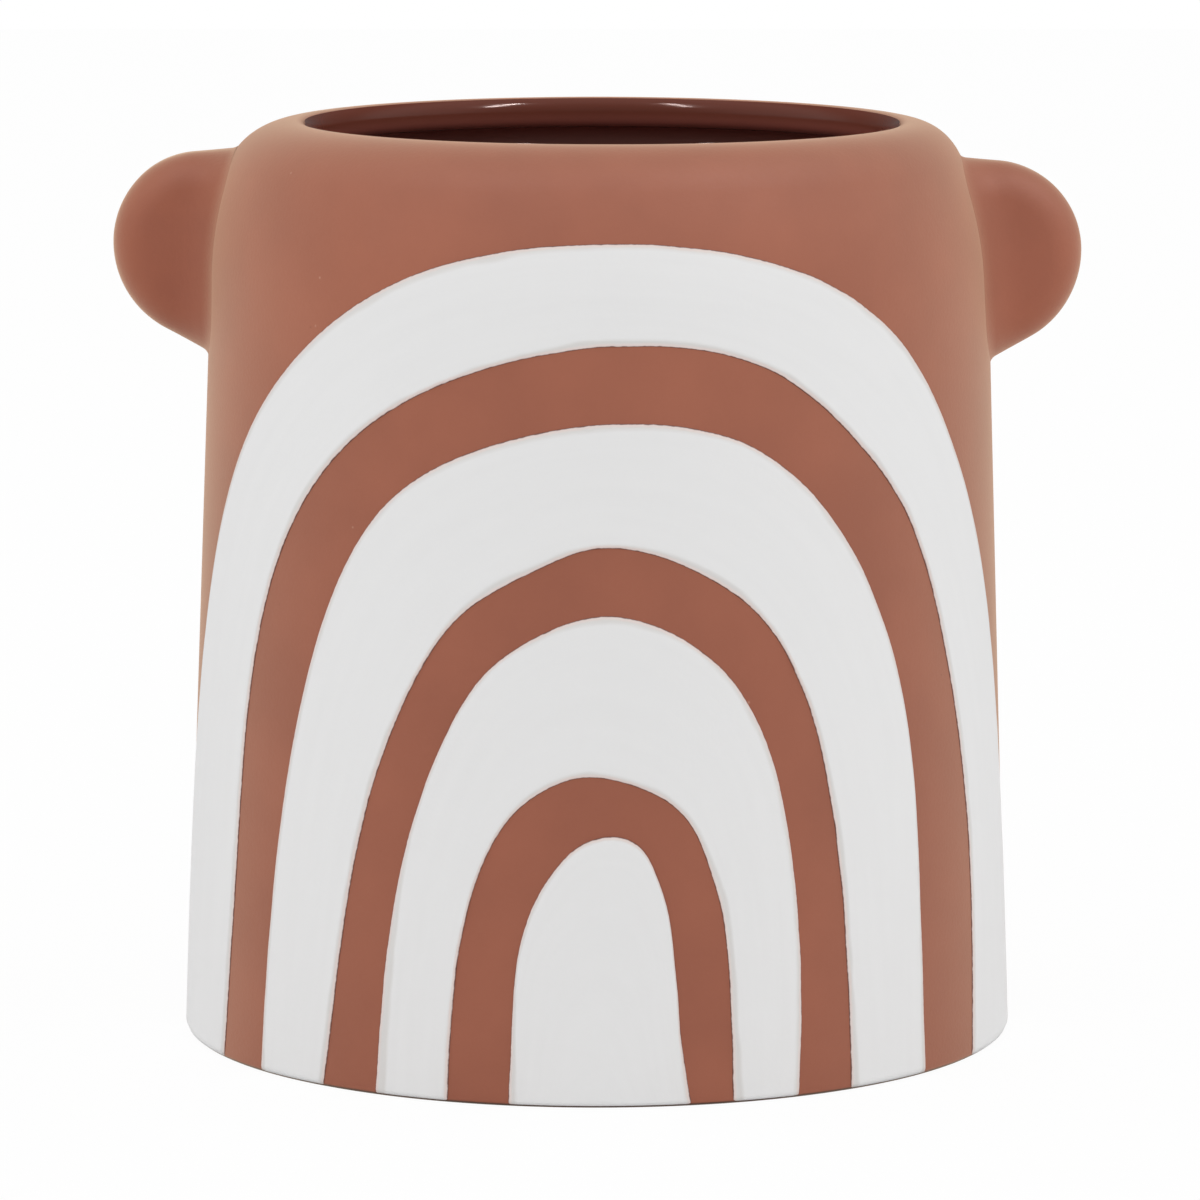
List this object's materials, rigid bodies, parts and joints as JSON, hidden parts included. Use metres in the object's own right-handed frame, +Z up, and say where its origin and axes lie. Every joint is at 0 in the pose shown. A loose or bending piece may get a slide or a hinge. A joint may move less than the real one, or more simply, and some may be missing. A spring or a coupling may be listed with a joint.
{
  "type": "ceramic jar",
  "caption": "Round terracotta jar with ear lugs at its sides, an inturned rounded lip, a glossy dark glaze lining and raised white slip arches on the front.",
  "frame": {"origin": "centre of the foot circle, on the table", "axes": "+Z up along the jar's axis, -Y out of the decorated front, +X towards the right-hand lug"},
  "size_m": [0.1854, 0.1596, 0.1754],
  "materials": {
    "terracotta": "matt unglazed fired clay",
    "white_slip": "matt white slip, brushed on",
    "dark_glaze": "glossy red-brown glaze"
  },
  "bodies": {
    "root": {"side_wall": "terracotta", "floor_disc": "terracotta", "shoulder_ring": "terracotta", "glaze_lining": "dark_glaze", "left_lug": "terracotta", "right_lug": "terracotta", "outer_arch": "white_slip", "middle_arch": "white_slip", "inner_arch": "white_slip", "centre_tongue": "white_slip"}
  },
  "joints": []
}
